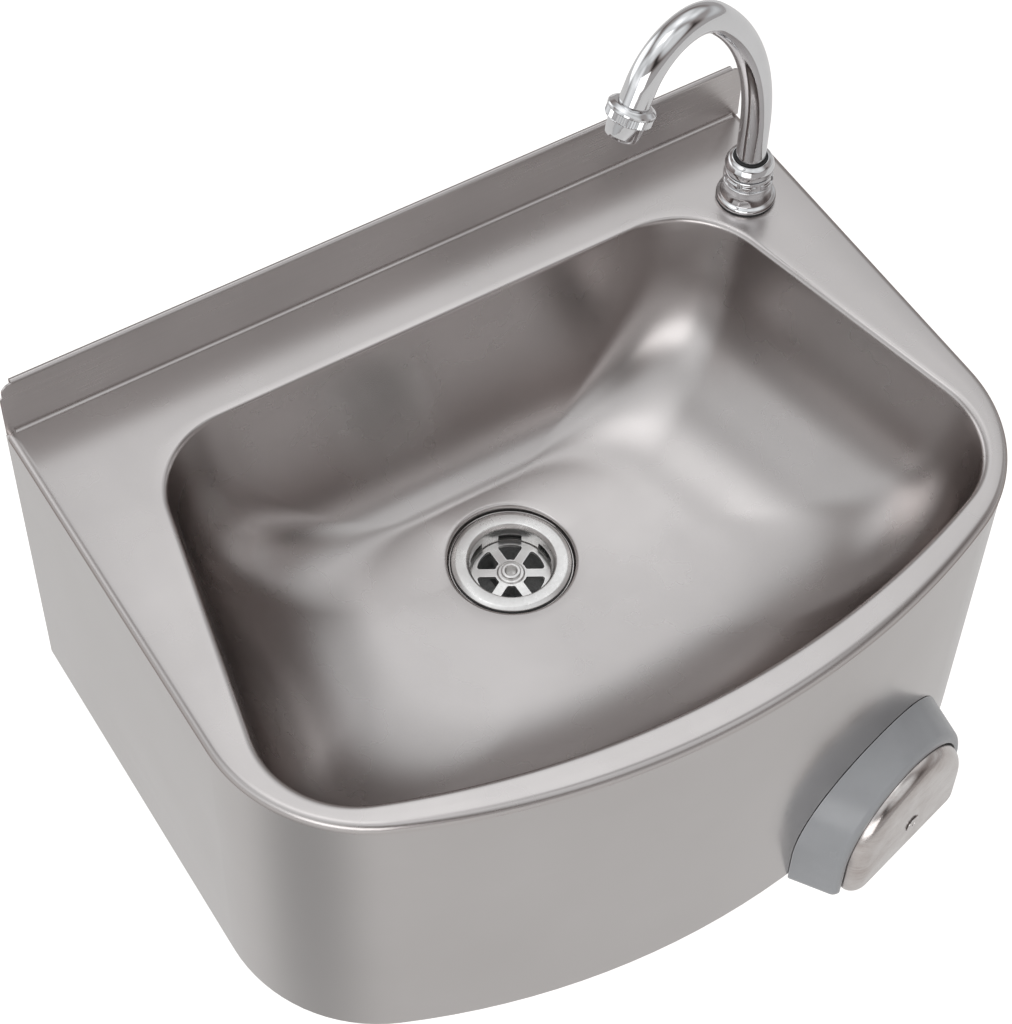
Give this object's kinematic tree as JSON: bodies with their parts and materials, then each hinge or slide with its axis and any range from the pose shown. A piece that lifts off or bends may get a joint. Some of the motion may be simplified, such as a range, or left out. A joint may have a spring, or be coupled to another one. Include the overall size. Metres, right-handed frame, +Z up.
{
  "type": "hand wash sink",
  "caption": "Wall-hung stainless steel hand wash sink with a bowed front skirt, a swan-neck swivel spout, a strainer waste and a knee push plate.",
  "frame": {"origin": "centre of the four wall screw holes, on the wall face", "axes": "+X to the user's right, +Y into the wall, +Z up"},
  "size_m": [0.4, 0.3211, 0.3496],
  "materials": {
    "stainless": "satin stainless sheet, 0.35 roughness, grain along X",
    "stainless_polished": "polished stainless, 0.15 roughness",
    "chrome": "bright chrome plate",
    "housing_grey": "satin grey moulding",
    "rubber_black": "matt black rubber",
    "brass": "plain machined brass",
    "copper_pipe": "plated pipe, satin",
    "spring_steel": "drawn wire",
    "waste_plastic": "white moulded plastic"
  },
  "bodies": {
    "sink": {"basin": "stainless", "skirt": "stainless", "waste_flange": "stainless_polished", "waste_grid": "stainless_polished", "waste_screw": "stainless_polished", "waste_body": "waste_plastic", "flange_gasket": "rubber_black", "under_gasket": "rubber_black", "base_gasket": "rubber_black", "spout_base": "chrome", "lock_ring": "chrome", "cap_nut": "chrome", "spout_seal": "rubber_black", "spout_washer": "stainless_polished", "spout_backnut": "brass", "knee_housing": "housing_grey", "push_spring": "spring_steel", "rod_seal": "rubber_black", "valve_locknut": "brass", "valve_body": "brass", "manifold": "brass", "inlet_nipples": "brass", "riser_pipe": "copper_pipe", "pipe_nuts": "brass"},
    "spout": {"spout_tube": "chrome", "tube_collar": "brass", "spout_o_rings": "rubber_black", "aerator_collar": "chrome", "aerator_body": "chrome", "aerator_mesh": "stainless_polished"},
    "knee_plate": {"knee_plate": "stainless_polished", "plate_screw": "stainless_polished", "push_rod": "brass"}
  },
  "joints": [
    {"name": "spout_swivel", "type": "hinge", "parent": "sink", "child": "spout", "pos_m": [0.171, -0.052, 0.09], "axis": [0, 0, 1], "range_deg": [-25, 85]},
    {"name": "knee_push", "type": "slide", "parent": "sink", "child": "knee_plate", "axis": [-0.2639, 0.9646, 0], "range_m": [0, 0.008], "stiffness_N_per_m": 1500, "springref_m": -0.008, "deforming": ["push_spring"]}
  ]
}
